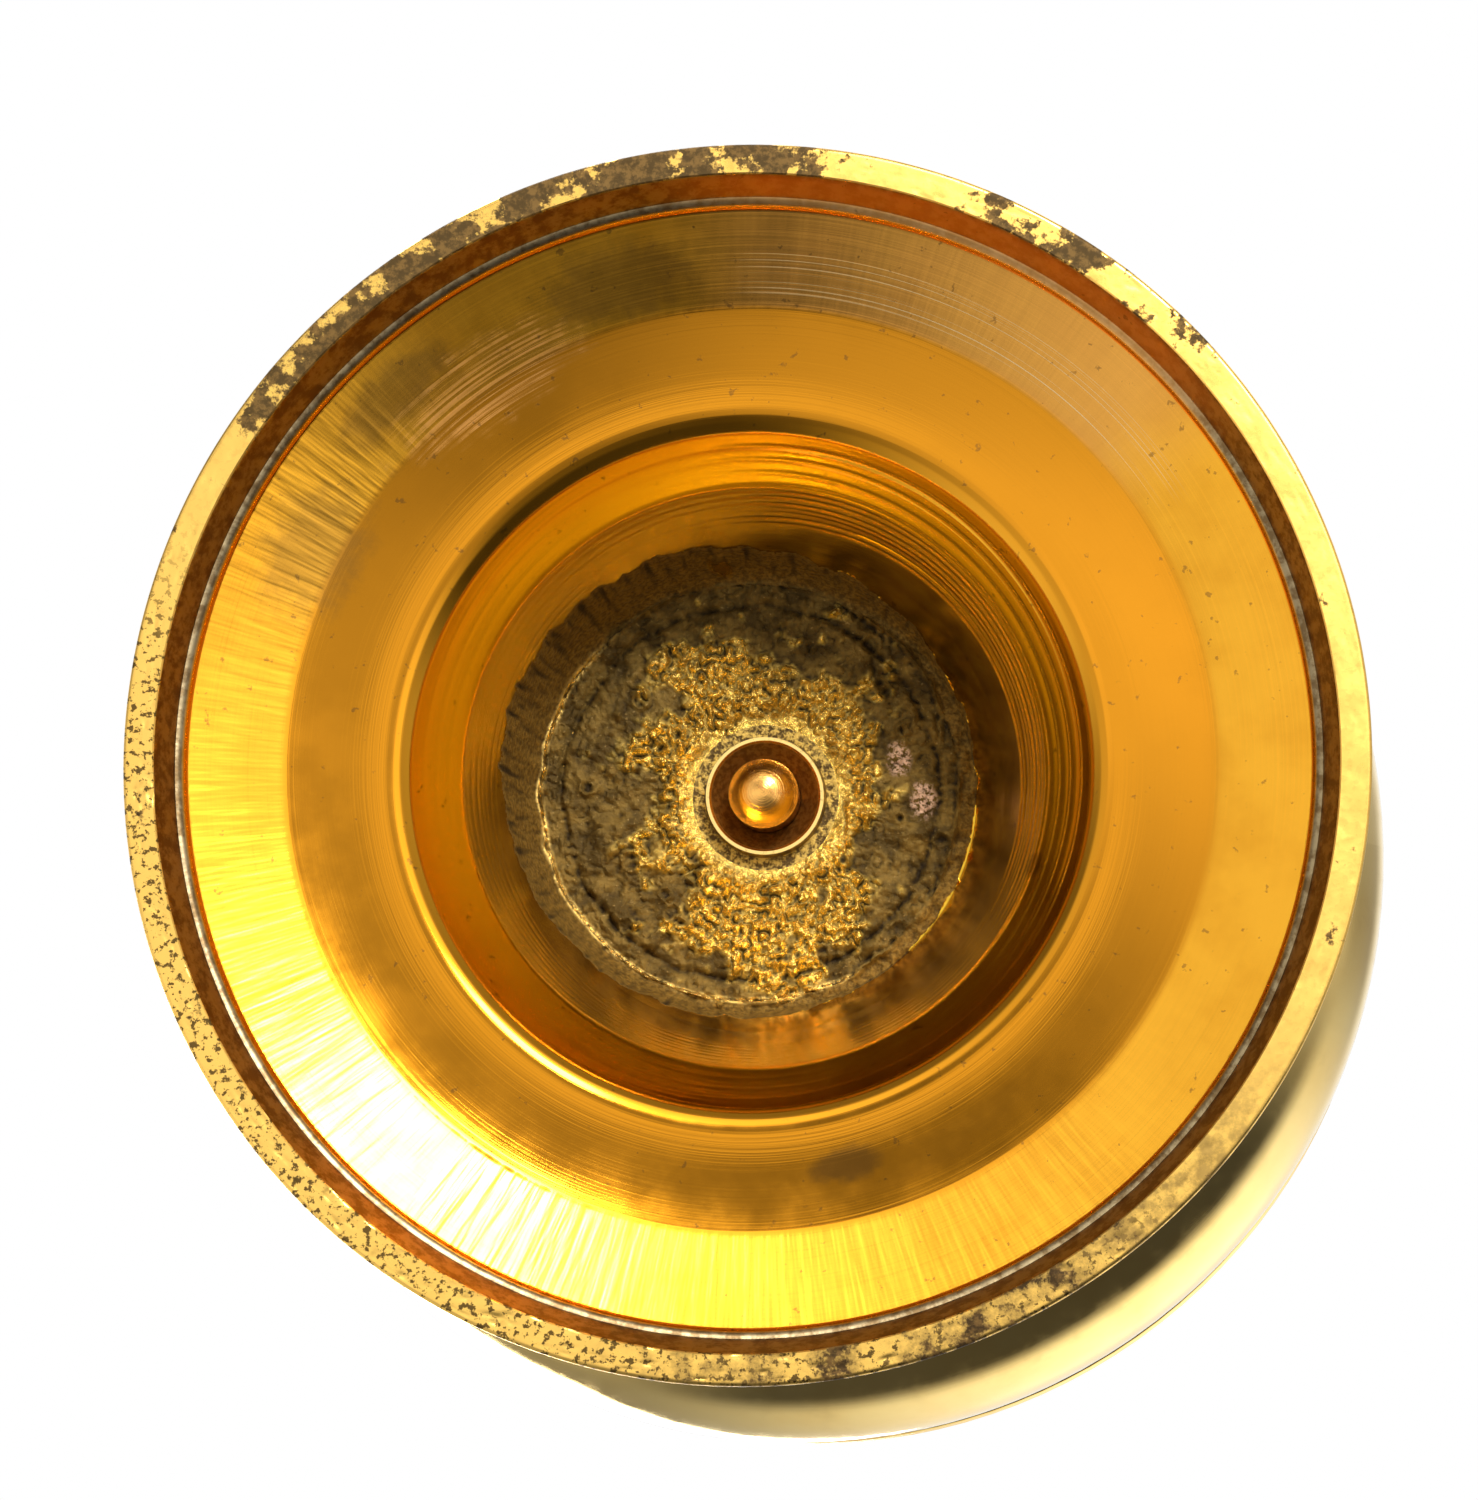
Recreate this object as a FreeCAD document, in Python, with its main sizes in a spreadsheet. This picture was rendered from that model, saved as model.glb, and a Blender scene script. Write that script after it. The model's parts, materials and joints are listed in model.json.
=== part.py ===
"""A footed ciborium in cast, turned and spun brass: a hollow foot, a short stem with a knop, a wide
bowl, and a domed lid that lifts off, topped by an orb and a cross.

Frame: +Z is the axis of the vessel, upwards. The origin is the centre of the ring that it stands on.
Units are millimetres.
"""
import FreeCAD, Part
import math
import os
import Sketcher

DOCUMENT = FreeCAD.newDocument("Ciborium")
SHEET = DOCUMENT.addObject("Spreadsheet::Sheet", "Sizes")

# Driving dimensions: alias, value in millimetres. Heights are above the table.
DRIVING_DIMENSIONS = [
    ("fit_gap", 0.05),
    ("seat_gap", 0.25),
    # foot
    ("foot_radius", 51.0),
    ("rim_face_width", 2.6),
    ("rim_wall_height", 3.3),
    ("rim_band_height", 4.4),
    ("flare_radius", 46.6),
    ("flare_height", 4.6),
    ("cove_radius", 39.4),
    ("cove_height", 7.7),
    ("shoulder_radius", 31.5),
    ("shoulder_height", 9.9),
    ("well_mouth_radius", 27.0),
    ("well_mouth_height", 12.6),
    ("well_bend_radius", 25.2),
    ("well_bend_height", 16.0),
    ("well_radius", 21.8),
    ("well_height", 27.0),
    ("core_step_radius", 19.2),
    ("core_step_height", 33.2),
    ("floor_height", 34.6),
    ("hub_bead_radius", 31.0),
    ("hub_bead_height", 15.0),
    ("hub_radius", 29.0),
    ("hub_top_radius", 14.0),
    ("foot_height", 38.0),
    # clamping rod and its nut
    ("rod_radius", 3.175),
    ("rod_tip_height", 28.9),
    ("rod_dome_rise", 2.1),
    ("rod_top_height", 59.0),
    ("nut_lip_radius", 5.4),
    ("nut_lip_height", 32.8),
    ("nut_lip_width", 0.3),
    ("nut_dish_depth", 2.3),
    ("nut_body_radius", 4.5),
    ("nut_length", 4.9),
    ("washer_radius", 6.7),
    ("washer_thickness", 0.4),
    # stem and knop
    ("collar_radius", 13.2),
    ("collar_height", 3.0),
    ("stem_radius", 6.6),
    ("lower_stem_top", 44.5),
    ("knop_radius", 13.5),
    ("knop_top", 53.0),
    ("knop_wall", 1.1),
    ("knop_band_width", 1.6),
    ("knop_band_proud", 0.7),
    ("core_tube_wall", 1.3),
    ("upper_stem_top", 56.0),
    # bowl
    ("bowl_radius", 62.2),
    ("bowl_wall", 1.2),
    ("bowl_bottom", 60.0),
    ("bowl_flat_radius", 9.0),
    ("belly_height", 85.0),
    ("belly_arc", 18.5),
    ("mouth_height", 104.0),
    ("mouth_flare", 0.8),
    ("rim_wire_radius", 1.1),
    ("boss_radius", 4.9),
    ("boss_length", 6.7),
    ("calyx_radius", 20.0),
    ("calyx_wall", 1.6),
    # lid
    ("bezel_height", 6.0),
    ("bezel_wall", 1.2),
    ("bezel_gap", 0.1),
    ("lid_wall", 1.2),
    ("lid_edge_width", 5.0),
    ("lid_step_rise", 4.0),
    ("lid_dome_rise", 24.0),
    ("lid_top_radius", 9.5),
    ("lid_edge_thickness", 1.9),
    ("lid_wire_radius", 1.1),
    # finial
    ("stud_radius", 1.9),
    ("finial_base_rise", 6.0),
    ("orb_radius", 7.5),
    ("orb_flat_radius", 4.3),
    ("cross_rise", 38.0),
    ("cross_span", 28.0),
    ("cross_arm_width", 4.0),
    ("cross_end_width", 8.4),
    ("cross_end_length", 6.0),
    ("cross_arm_drop", 14.0),
    ("cross_thickness", 3.2),
    ("lid_nut_across_flats", 8.0),
    ("lid_nut_thickness", 3.2),
    ("lid_washer_radius", 6.5),
]


class Size:
    """A length that carries both its value and the sheet formula that it comes from."""

    def __init__(self, value, formula):
        self.value = float(value)
        self.formula = formula

    def __add__(self, other):
        other = as_size(other)
        return Size(self.value + other.value, f"({self.formula} + {other.formula})")

    def __sub__(self, other):
        other = as_size(other)
        return Size(self.value - other.value, f"({self.formula} - {other.formula})")

    def __mul__(self, other):
        other = as_size(other)
        return Size(self.value * other.value, f"({self.formula} * {other.formula})")

    def __truediv__(self, other):
        other = as_size(other)
        return Size(self.value / other.value, f"({self.formula} / {other.formula})")


def as_size(number):
    return number if isinstance(number, Size) else Size(number, repr(float(number)))


def square_root(size):
    return Size(math.sqrt(size.value), f"sqrt({size.formula})")


def cap_radius(half_chord, rise):
    """Radius of the arc with this half chord and this rise."""
    return (half_chord * half_chord + rise * rise) / (rise * 2)


def fill_sheet():
    """Write the driving dimensions to the sheet and return them by name."""
    sizes = {}
    for row, (alias, value) in enumerate(DRIVING_DIMENSIONS, start=1):
        SHEET.set(f"A{row}", alias)
        SHEET.set(f"B{row}", str(value))
        SHEET.setAlias(f"B{row}", alias)
        sizes[alias] = Size(value, f"Sizes.{alias}")
    DOCUMENT.recompute()
    return sizes


D = fill_sheet()


class Arc:
    """A profile step: a round stretch to a point, bulging to one side of the direction of travel."""

    def __init__(self, x, y, radius, side):
        self.end = (as_size(x), as_size(y))
        self.radius = as_size(radius)
        self.side = side

    def middle(self, start):
        (x0, y0), (x1, y1) = start, (self.end[0].value, self.end[1].value)
        chord = math.hypot(x1 - x0, y1 - y0)
        sagitta = self.radius.value - math.sqrt(self.radius.value ** 2 - chord ** 2 / 4)
        sign = 1.0 if self.side == "left" else -1.0
        normal_x, normal_y = -(y1 - y0) / chord * sign, (x1 - x0) / chord * sign
        return FreeCAD.Vector((x0 + x1) / 2 + normal_x * sagitta, (y0 + y1) / 2 + normal_y * sagitta, 0)


def bind(sketch, kind, geometry, point, size):
    """Hold one coordinate of a sketch point, or a radius, to its formula in the sheet."""
    if kind == "Radius":
        index = sketch.addConstraint(Sketcher.Constraint(kind, geometry, size.value))
    elif abs(size.value) < 1e-9:
        axis = -2 if kind == "DistanceX" else -1
        sketch.addConstraint(Sketcher.Constraint("PointOnObject", geometry, point, axis))
        return
    else:
        index = sketch.addConstraint(Sketcher.Constraint(kind, -1, 1, geometry, point, size.value))
    sketch.setExpression(f"Constraints[{index}]", size.formula)


def draw_outline(sketch, start, steps):
    """Draw a closed outline of lines and arcs; every corner and radius is bound to the sheet."""
    corners = [tuple(as_size(value) for value in start)]
    arcs = []
    for step in steps:
        if isinstance(step, Arc):
            corners.append(step.end)
            arcs.append(step)
        else:
            corners.append(tuple(as_size(value) for value in step))
            arcs.append(None)
    corners.append(corners[0])
    arcs.append(None)
    for index, arc in enumerate(arcs):
        first = FreeCAD.Vector(corners[index][0].value, corners[index][1].value, 0)
        last = FreeCAD.Vector(corners[index + 1][0].value, corners[index + 1][1].value, 0)
        if arc:
            middle = arc.middle((first.x, first.y))
            curve = Part.Arc(first, middle, last)
            sketch.addGeometry(curve)
        else:
            sketch.addGeometry(Part.LineSegment(first, last))
    ends = [travel_ends(sketch, index, corners[index]) for index in range(len(arcs))]
    for index in range(len(arcs)):
        following = (index + 1) % len(arcs)
        sketch.addConstraint(
            Sketcher.Constraint("Coincident", index, ends[index][1], following, ends[following][0]))
    for index, arc in enumerate(arcs):
        bind(sketch, "DistanceX", index, ends[index][0], corners[index][0])
        bind(sketch, "DistanceY", index, ends[index][0], corners[index][1])
        if arc:
            bind(sketch, "Radius", index, 0, arc.radius)


def travel_ends(sketch, index, corner):
    """Which ends of a curve come first and last: an arc in a sketch always runs anticlockwise."""
    start = sketch.getPoint(index, 1)
    reached = math.hypot(start.x - corner[0].value, start.y - corner[1].value) < 1e-6
    return (1, 2) if reached else (2, 1)


def new_body(name):
    body = DOCUMENT.addObject("PartDesign::Body", name)
    body.Label = name
    body.Placement = FreeCAD.Placement()
    return body


def new_sketch(body, name, role):
    plane = [item for item in body.Origin.OriginFeatures if item.Role == role][0]
    sketch = body.newObject("Sketcher::SketchObject", name)
    sketch.AttachmentSupport = (plane, [""])
    sketch.MapMode = "FlatFace"
    return sketch


def turned(name, start, steps):
    """A piece turned or spun round the vessel's axis, from its half section."""
    body = new_body(name)
    sketch = new_sketch(body, f"{name}_section", "XZ_Plane")
    draw_outline(sketch, start, steps)
    revolution = body.newObject("PartDesign::Revolution", f"{name}_turned")
    revolution.Profile = sketch
    revolution.ReferenceAxis = (sketch, ["V_Axis"])
    revolution.Angle = 360
    return body


def make_foot():
    """Cast foot: standing ring, underside flaring in to a steep cored well, and a domed hub."""
    inner_edge = D["foot_radius"] - D["rim_face_width"]
    bore = D["nut_body_radius"] + D["fit_gap"]
    edge = 0.4
    return turned("foot", (inner_edge, 0), [
        (D["foot_radius"] - edge, 0),
        Arc(D["foot_radius"], edge, edge, "right"),
        (D["foot_radius"], D["rim_band_height"]),
        (D["foot_radius"] - 1.0, D["rim_band_height"] + 0.6),
        Arc(D["foot_radius"] - 1.8, D["rim_band_height"] + 3.6, 1.7, "right"),
        (D["foot_radius"] - 2.8, D["rim_band_height"] + 4.0),
        Arc(D["hub_bead_radius"], D["hub_bead_height"], 40.0, "left"),
        Arc(D["hub_bead_radius"] - 0.8, D["hub_bead_height"] + 2.8, 1.6, "right"),
        (D["hub_radius"], D["hub_bead_height"] + 3.2),
        Arc(D["hub_radius"] - 6.5, D["foot_height"] - 3.6, 24.0, "right"),
        Arc(D["hub_top_radius"], D["foot_height"] - 1.0, 14.0, "left"),
        (D["hub_top_radius"], D["foot_height"]),
        (bore, D["foot_height"]),
        (bore, D["floor_height"]),
        (D["washer_radius"] + 0.5, D["floor_height"]),
        (D["core_step_radius"], D["core_step_height"]),
        (D["well_radius"], D["well_height"]),
        (D["well_bend_radius"], D["well_bend_height"]),
        (D["well_mouth_radius"], D["well_mouth_height"]),
        Arc(D["shoulder_radius"], D["shoulder_height"], 7.7, "right"),
        Arc(D["cove_radius"], D["cove_height"], 45.0, "left"),
        (D["flare_radius"], D["flare_height"]),
        (D["flare_radius"] + 0.8, D["rim_wall_height"]),
    ])


def make_rod_and_nut():
    """The rod that clamps the whole vessel together, with its round dished nut and washer."""
    tip = D["rod_tip_height"]
    shoulder = tip + D["rod_dome_rise"]
    dome = cap_radius(D["rod_radius"], D["rod_dome_rise"])
    turned("tie_rod", (0, tip), [
        Arc(D["rod_radius"], shoulder, dome, "right"),
        (D["rod_radius"], D["rod_top_height"] - 0.6),
        (D["rod_radius"] - 0.6, D["rod_top_height"]),
        (0, D["rod_top_height"]),
    ])
    bore = D["rod_radius"] + D["fit_gap"]
    flange_back = D["floor_height"] - D["washer_thickness"]
    turned("dished_nut", (D["nut_lip_radius"] - D["nut_lip_width"], D["nut_lip_height"]), [
        (D["nut_lip_radius"], D["nut_lip_height"]),
        (D["nut_lip_radius"] + 0.2, flange_back),
        (D["nut_body_radius"], flange_back),
        (D["nut_body_radius"], D["nut_lip_height"] + D["nut_length"]),
        (bore, D["nut_lip_height"] + D["nut_length"]),
        (bore, D["nut_lip_height"] + D["nut_dish_depth"]),
    ])
    turned("nut_washer", (D["nut_body_radius"] + D["fit_gap"], flange_back), [
        (D["washer_radius"], flange_back),
        (D["washer_radius"], D["floor_height"]),
        (D["nut_body_radius"] + D["fit_gap"], D["floor_height"]),
    ])


def make_stem():
    """Collar, two turned stem pieces, and a hollow knop of two shells and a band on a core tube."""
    bore = D["rod_radius"] + D["fit_gap"]
    base = D["foot_height"]
    collar_top = base + D["collar_height"]
    turned("foot_collar", (bore, base), [
        (D["collar_radius"] - 1.2, base),
        Arc(D["collar_radius"] - 1.6, base + 1.9, 1.05, "right"),
        (D["collar_radius"] - 2.6, base + 1.9),
        Arc(D["stem_radius"] + 1.8, collar_top, 3.4, "left"),
        (bore, collar_top),
    ])
    lower_top = D["lower_stem_top"]
    turned("stem_lower", (bore, collar_top), [
        (D["stem_radius"] + 1.4, collar_top),
        Arc(D["stem_radius"] + 0.8, lower_top, 3.0, "left"),
        (bore, lower_top),
    ])
    core = bore + D["core_tube_wall"]
    turned("knop_core_tube", (bore, lower_top), [
        (core, lower_top),
        (core, D["knop_top"]),
        (bore, D["knop_top"]),
    ])
    middle = (lower_top + D["knop_top"]) / 2
    half_band = D["knop_band_width"] / 2
    hole = core + D["fit_gap"]
    seat = D["stem_radius"] + 1.0
    inner_seat = seat - 0.9
    inner_radius = D["knop_radius"] - D["knop_wall"]
    rise = middle - half_band - lower_top
    for name, end, meeting, inward, side, inner_side in (
            ("knop_lower", lower_top, middle - half_band, D["knop_wall"], "right", "left"),
            ("knop_upper", D["knop_top"], middle + half_band,
             as_size(0) - D["knop_wall"], "left", "right")):
        turned(name, (hole, end), [
            (seat, end),
            Arc(D["knop_radius"], meeting, rise * 1.45, side),
            (inner_radius, meeting),
            Arc(inner_seat, end + inward, (rise - D["knop_wall"]) * 1.9, inner_side),
            (hole, end + inward),
        ])
    turned("knop_band", (inner_radius, middle - half_band), [
        (D["knop_radius"] + 0.1, middle - half_band),
        Arc(D["knop_radius"] + 0.1, middle + half_band,
            cap_radius(half_band, D["knop_band_proud"]), "right"),
        (inner_radius, middle + half_band),
    ])
    upper_bore = D["boss_radius"] + D["fit_gap"]
    turned("stem_upper", (upper_bore, D["knop_top"]), [
        (D["stem_radius"] + 0.8, D["knop_top"]),
        Arc(D["stem_radius"] + 1.6, D["upper_stem_top"], 3.0, "left"),
        (upper_bore, D["upper_stem_top"]),
    ])


def bowl_arcs():
    """Radius of the bowl's flat floor arc and the point where it runs smoothly into the belly arc."""
    depth = D["belly_height"] - D["bowl_bottom"]
    reach = D["bowl_radius"] - D["belly_arc"] - D["bowl_flat_radius"]
    belly = D["belly_arc"]
    floor_arc = (depth * depth - belly * belly + reach * reach) / 2 / (depth - belly)
    return floor_arc, reach


def bowl_outline_point(offset):
    """Meeting point of the floor arc and the belly arc on a surface offset inwards from the outside."""
    floor_arc, reach = bowl_arcs()
    between = floor_arc - D["belly_arc"]
    centre_height = D["bowl_bottom"] + floor_arc
    radius = floor_arc - offset
    x = D["bowl_flat_radius"] + radius * reach / between
    z = centre_height - radius * (centre_height - D["belly_height"]) / between
    return x, z


def make_bowl():
    """Spun bowl with its soldered boss, the wire round its mouth, and the calyx that it sits in."""
    floor_arc, _ = bowl_arcs()
    wall = D["bowl_wall"]
    meet_x, meet_z = bowl_outline_point(as_size(0))
    inner_x, inner_z = bowl_outline_point(wall)
    mouth = D["bowl_radius"] + D["mouth_flare"]
    turned("bowl", (0, D["bowl_bottom"]), [
        (D["bowl_flat_radius"], D["bowl_bottom"]),
        Arc(meet_x, meet_z, floor_arc, "right"),
        Arc(D["bowl_radius"], D["belly_height"], D["belly_arc"], "right"),
        (mouth, D["mouth_height"]),
        (mouth - wall, D["mouth_height"]),
        (D["bowl_radius"] - wall, D["belly_height"]),
        Arc(inner_x, inner_z, D["belly_arc"] - wall, "left"),
        Arc(D["bowl_flat_radius"], D["bowl_bottom"] + wall, floor_arc - wall, "left"),
        (0, D["bowl_bottom"] + wall),
    ])
    wire = D["rim_wire_radius"]
    seat = mouth + D["fit_gap"]
    turned("bowl_rim_wire", (seat, D["mouth_height"] - wire * 2.2), [
        Arc(seat, D["mouth_height"] - wire * 0.3, wire, "right"),
    ])
    bore = D["rod_radius"] + D["fit_gap"]
    boss_foot = D["bowl_bottom"] - D["boss_length"]
    turned("bowl_boss", (bore, boss_foot), [
        (D["boss_radius"], boss_foot),
        (D["boss_radius"], D["bowl_bottom"]),
        (0, D["bowl_bottom"]),
        (0, D["rod_top_height"] + 0.3),
        (bore, D["rod_top_height"] + 0.3),
    ])
    make_calyx(floor_arc)


def make_calyx(floor_arc):
    """Turned cup under the bowl: it seats the bowl's flat and follows its floor a little clear of it."""
    bore = D["boss_radius"] + D["fit_gap"]
    centre_height = D["bowl_bottom"] + floor_arc
    gap_radius = floor_arc + D["seat_gap"]
    out = D["calyx_radius"] - D["bowl_flat_radius"]
    near = as_size(1.0)
    edge_z = centre_height - square_root(gap_radius * gap_radius - out * out)
    start_z = centre_height - square_root(gap_radius * gap_radius - near * near)
    turned("calyx", (bore, D["upper_stem_top"]), [
        (D["stem_radius"] + 2.4, D["upper_stem_top"]),
        Arc(D["stem_radius"] + 2.6, D["upper_stem_top"] + 1.4, 0.75, "right"),
        Arc(D["calyx_radius"] - 1.2, edge_z - D["calyx_wall"] + 0.5, 22.0, "left"),
        Arc(D["calyx_radius"], edge_z, 1.2, "right"),
        Arc(D["bowl_flat_radius"] + near, start_z, gap_radius, "left"),
        (D["bowl_flat_radius"], D["bowl_bottom"]),
        (bore, D["bowl_bottom"]),
    ])


def make_lid():
    """Spun lid dome, the bezel that drops into the bowl's mouth, and the wire round the lid's edge."""
    seat = D["mouth_height"] + D["fit_gap"]
    wall = D["lid_wall"]
    edge = D["bowl_radius"] + D["mouth_flare"] + 0.6
    bezel_radius = D["bowl_radius"] - D["bowl_wall"] - D["bezel_gap"]
    step_radius = edge - D["lid_edge_width"]
    step_top = seat + D["lid_step_rise"]
    top = seat + D["lid_dome_rise"]
    inner_edge = bezel_radius - D["bezel_wall"]
    dome_arc = 70.0
    turned("lid_dome", (inner_edge, seat), [
        (edge, seat),
        (edge, seat + D["lid_edge_thickness"]),
        (step_radius + 1.8, seat + D["lid_edge_thickness"] + 0.2),
        Arc(step_radius, step_top, 3.4, "left"),
        Arc(D["lid_top_radius"], top, dome_arc, "right"),
        (D["stud_radius"] + D["fit_gap"], top),
        (D["stud_radius"] + D["fit_gap"], top - wall),
        (D["lid_top_radius"] - 0.2, top - wall),
        Arc(step_radius - wall * 1.6, step_top - wall * 0.9, dome_arc - 1.2, "left"),
        (inner_edge - 0.4, seat + wall),
    ])
    turned("lid_bezel", (inner_edge, seat - D["bezel_height"]), [
        (bezel_radius - 0.3, seat - D["bezel_height"]),
        (bezel_radius, seat - D["bezel_height"] + 0.8),
        (bezel_radius, seat),
        (inner_edge, seat),
    ])
    wire = D["lid_wire_radius"]
    turned("lid_rim_wire", (edge + D["fit_gap"], seat + 0.05), [
        Arc(edge + D["fit_gap"], seat + 0.05 + wire * 1.6, wire, "right"),
    ])
    return top


def make_finial(lid_top):
    """Turned base, orb and cross drawn down on the lid by a stud, a washer and a nut inside."""
    stud = D["stud_radius"]
    bore = stud + D["fit_gap"]
    base_top = lid_top + D["finial_base_rise"]
    under_lid = lid_top - D["lid_wall"]
    turned("finial_base", (bore, lid_top), [
        (D["lid_top_radius"] - 0.8, lid_top),
        Arc(D["lid_top_radius"] - 1.2, lid_top + 1.8, 1.0, "right"),
        (D["lid_top_radius"] - 2.2, lid_top + 1.8),
        Arc(D["orb_flat_radius"] + 0.6, base_top - 1.2, 6.5, "left"),
        Arc(D["orb_flat_radius"] + 0.4, base_top, 0.75, "right"),
        (bore, base_top),
    ])
    flat = D["orb_flat_radius"]
    half_orb = square_root(D["orb_radius"] * D["orb_radius"] - flat * flat)
    orb_middle = base_top + half_orb
    orb_top = orb_middle + half_orb
    turned("finial_orb", (bore, base_top), [
        (D["orb_flat_radius"], base_top),
        Arc(D["orb_radius"], orb_middle, D["orb_radius"], "right"),
        Arc(D["orb_flat_radius"], orb_top, D["orb_radius"], "right"),
        (bore, orb_top),
    ])
    stud_foot = under_lid - 5.6
    turned("finial_stud", (0, stud_foot), [
        (stud - 0.4, stud_foot),
        (stud, stud_foot + 0.4),
        (stud, orb_top),
        (0, orb_top),
    ])
    washer_foot = under_lid - 0.8
    turned("lid_washer", (bore, washer_foot), [
        (D["lid_washer_radius"], washer_foot),
        (D["lid_washer_radius"], under_lid),
        (bore, under_lid),
    ])
    make_lid_nut(washer_foot)
    make_cross(orb_top)


def make_lid_nut(washer_foot):
    """Hexagon nut on the stud inside the lid."""
    body = new_body("lid_nut")
    sketch = new_sketch(body, "lid_nut_outline", "XY_Plane")
    corner = D["lid_nut_across_flats"] / math.sqrt(3)
    points = [FreeCAD.Vector(corner.value * math.cos(math.radians(60 * turn)),
                             corner.value * math.sin(math.radians(60 * turn)), 0) for turn in range(6)]
    for turn in range(6):
        sketch.addGeometry(Part.LineSegment(points[turn], points[(turn + 1) % 6]))
    middle = FreeCAD.Vector(0, 0, 0)
    upwards = FreeCAD.Vector(0, 0, 1)
    circle = sketch.addGeometry(Part.Circle(middle, upwards, corner.value), True)
    bore = D["stud_radius"] + D["fit_gap"]
    hole = sketch.addGeometry(Part.Circle(middle, upwards, bore.value))
    for turn in range(6):
        sketch.addConstraint(Sketcher.Constraint("Coincident", turn, 2, (turn + 1) % 6, 1))
        sketch.addConstraint(Sketcher.Constraint("PointOnObject", turn, 1, circle))
    for turn in range(1, 6):
        sketch.addConstraint(Sketcher.Constraint("Equal", 0, turn))
    sketch.addConstraint(Sketcher.Constraint("PointOnObject", 0, 1, -1))
    for ring in (circle, hole):
        sketch.addConstraint(Sketcher.Constraint("Coincident", ring, 3, -1, 1))
    bind(sketch, "Radius", circle, 0, corner)
    bind(sketch, "Radius", hole, 0, bore)
    pad = body.newObject("PartDesign::Pad", "lid_nut_pad")
    pad.Profile = sketch
    pad.setExpression("Length", D["lid_nut_thickness"].formula)
    body.setExpression("Placement.Base.z", (washer_foot - D["lid_nut_thickness"]).formula)


def make_cross(foot):
    """Latin cross with flared ends, standing on the orb, facing the front and the back."""
    body = new_body("cross")
    sketch = new_sketch(body, "cross_outline", "XZ_Plane")
    arm = D["cross_arm_width"] / 2
    tip = D["cross_end_width"] / 2
    flare = D["cross_end_length"]
    reach = D["cross_span"] / 2
    top = foot + D["cross_rise"]
    arms = top - D["cross_arm_drop"]
    right = [
        (tip, foot), (tip - 0.6, foot + 0.9), (arm, foot + flare),
        (arm, arms - arm), (reach - flare, arms - arm), (reach, arms - tip),
        (reach, arms + tip), (reach - flare, arms + arm), (arm, arms + arm),
        (arm, top - flare), (tip, top),
    ]
    zero = as_size(0)
    offset = D["cross_span"]
    left = [(zero - x, z) for x, z in reversed(right)]
    corners = [(offset + x, z) for x, z in right + left]
    draw_outline(sketch, corners[0], corners[1:])
    pad = body.newObject("PartDesign::Pad", "cross_pad")
    pad.Profile = sketch
    pad.Midplane = True
    pad.setExpression("Length", D["cross_thickness"].formula)
    DOCUMENT.recompute()
    rounding = body.newObject("PartDesign::Fillet", "cross_rounding")
    face_edges = [f"Edge{number}" for number, edge in enumerate(pad.Shape.Edges, start=1)
                  if edge.BoundBox.YLength < 1e-6 and edge.BoundBox.ZMin > foot.value + 0.01]
    rounding.Base = (pad, face_edges)
    rounding.Radius = 0.5
    body.setExpression("Placement.Base.x", (zero - offset).formula)


def build():
    make_foot()
    make_rod_and_nut()
    make_stem()
    make_bowl()
    lid_top = make_lid()
    make_finial(lid_top)
    DOCUMENT.recompute()


def faults():
    """Names of the objects that failed to compute and of the bodies without a sound single solid."""
    found = []
    for item in DOCUMENT.Objects:
        if "Invalid" in item.State or "Error" in item.State:
            found.append(f"{item.Name}: {item.State}")
        if item.TypeId == "PartDesign::Body":
            shape = item.Shape
            if shape.isNull() or not shape.isValid() or len(shape.Solids) != 1:
                found.append(f"{item.Label}: no sound solid")
    return found


def export():
    os.makedirs("parts", exist_ok=True)
    for item in DOCUMENT.Objects:
        if item.TypeId == "PartDesign::Body":
            item.Shape.exportStep(f"parts/{item.Label}.step")


build()
problems = faults()
if problems:
    raise SystemExit("\n".join(problems))
export()
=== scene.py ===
"""Looks of the ciborium: the photographed underside of its foot, and polished brass everywhere else.

The camera looks up at the underside of the standing vessel, so the floor is seen through from below.
"""
import json
import math

import bpy
import numpy as np
from mathutils import Matrix, Vector


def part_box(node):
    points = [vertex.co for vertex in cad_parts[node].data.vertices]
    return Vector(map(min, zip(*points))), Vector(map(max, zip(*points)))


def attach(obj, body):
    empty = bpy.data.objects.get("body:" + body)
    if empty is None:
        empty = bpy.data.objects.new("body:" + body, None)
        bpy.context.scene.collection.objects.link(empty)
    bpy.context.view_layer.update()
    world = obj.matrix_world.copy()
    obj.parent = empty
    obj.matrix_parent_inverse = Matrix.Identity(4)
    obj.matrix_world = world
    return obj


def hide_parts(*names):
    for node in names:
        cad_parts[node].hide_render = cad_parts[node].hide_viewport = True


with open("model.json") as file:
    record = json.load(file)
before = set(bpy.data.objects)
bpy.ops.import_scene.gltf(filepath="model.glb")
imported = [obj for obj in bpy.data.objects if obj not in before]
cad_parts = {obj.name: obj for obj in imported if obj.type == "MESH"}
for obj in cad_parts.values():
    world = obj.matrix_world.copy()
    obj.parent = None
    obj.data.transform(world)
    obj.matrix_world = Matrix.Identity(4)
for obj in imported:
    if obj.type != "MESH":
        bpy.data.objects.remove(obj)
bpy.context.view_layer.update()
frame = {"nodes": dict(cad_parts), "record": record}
SCENE = bpy.context.scene
MM = 0.001

# ---------------------------------------------------------------------------------------------
# Camera: below the foot and a little off the axis, with the image's top towards -Y
# ---------------------------------------------------------------------------------------------
CAMERA_DISTANCE = 0.2645
CAMERA_TILT = math.radians(8.4)
CAMERA_AZIMUTH = math.radians(60.4)
CAMERA_LENS = 78.0


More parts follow.
